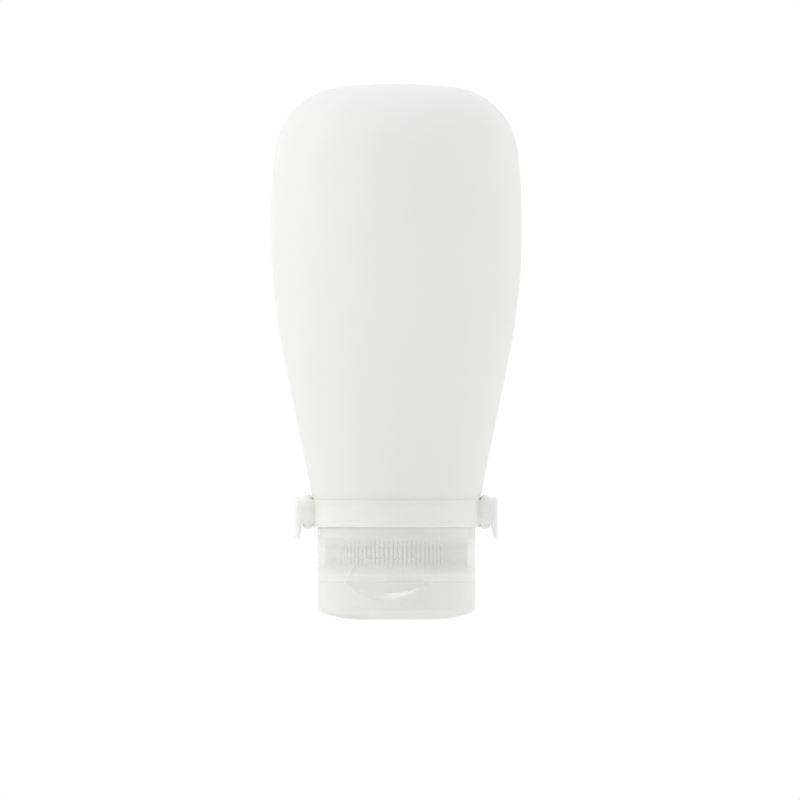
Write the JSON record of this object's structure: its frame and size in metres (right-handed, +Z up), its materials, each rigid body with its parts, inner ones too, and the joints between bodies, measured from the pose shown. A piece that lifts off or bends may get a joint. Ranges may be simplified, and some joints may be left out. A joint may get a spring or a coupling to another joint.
{
  "type": "travel squeeze bottle",
  "caption": "Soft round squeeze bottle that stands on its clear flip-top screw cap, with a loose collar that has a lug on each side, for carrying liquids such as soap on a journey.",
  "frame": {"origin": "centre of the lid's flat end face, on which the bottle stands cap down", "axes": "+Z up along the bottle's axis from the cap to the closed end, +X through the collar's right lug, -Y towards the viewer and the thumb scoop"},
  "size_m": [0.0486, 0.0486, 0.1039],
  "materials": {
    "silicone_body": "frosted translucent moulded silicone",
    "valve_silicone": "smooth moulded silicone",
    "liner_foam": "smooth foamed polyethylene",
    "neck_plastic": "natural moulded polypropylene",
    "collar_plastic": "milky moulded polypropylene, satin",
    "core_plastic": "natural moulded polypropylene, ribbed",
    "clear_plastic": "clear moulded polypropylene, polished"
  },
  "bodies": {
    "bottle": {"squeeze_body": "silicone_body", "neck_insert": "neck_plastic"},
    "collar": {"hanger_ring": "collar_plastic"},
    "washer": {"cap_liner": "liner_foam"},
    "cap": {"cap_shell": "clear_plastic", "screw_core": "core_plastic", "slit_valve": "valve_silicone", "valve_retainer": "neck_plastic", "hinge_film": "clear_plastic"},
    "lid": {"flip_lid": "clear_plastic"}
  },
  "joints": [
    {"name": "collar_turn", "type": "hinge", "parent": "bottle", "child": "collar", "pos_m": [0, 0, 0.02065], "axis": [0, 0, 1], "continuous": true},
    {"name": "cap_lift", "type": "slide", "parent": "bottle", "child": "washer", "axis": [0, 0, -1], "range_m": [0, 0.0105]},
    {"name": "cap_turn", "type": "hinge", "parent": "washer", "child": "cap", "pos_m": [0, 0, 0.01255], "axis": [0, 0, -1], "range_deg": [0, 1260]},
    {"name": "lid_flip", "type": "hinge", "parent": "cap", "child": "lid", "pos_m": [0.00168, 0.01521, 0.00728], "axis": [0.994, -0.1097, 0], "range_deg": [0, 160], "deforming": ["hinge_film"]}
  ],
  "couplings": [
    {"joint": "cap_turn", "follows": "cap_lift", "rad_per_m": 2094.4}
  ]
}
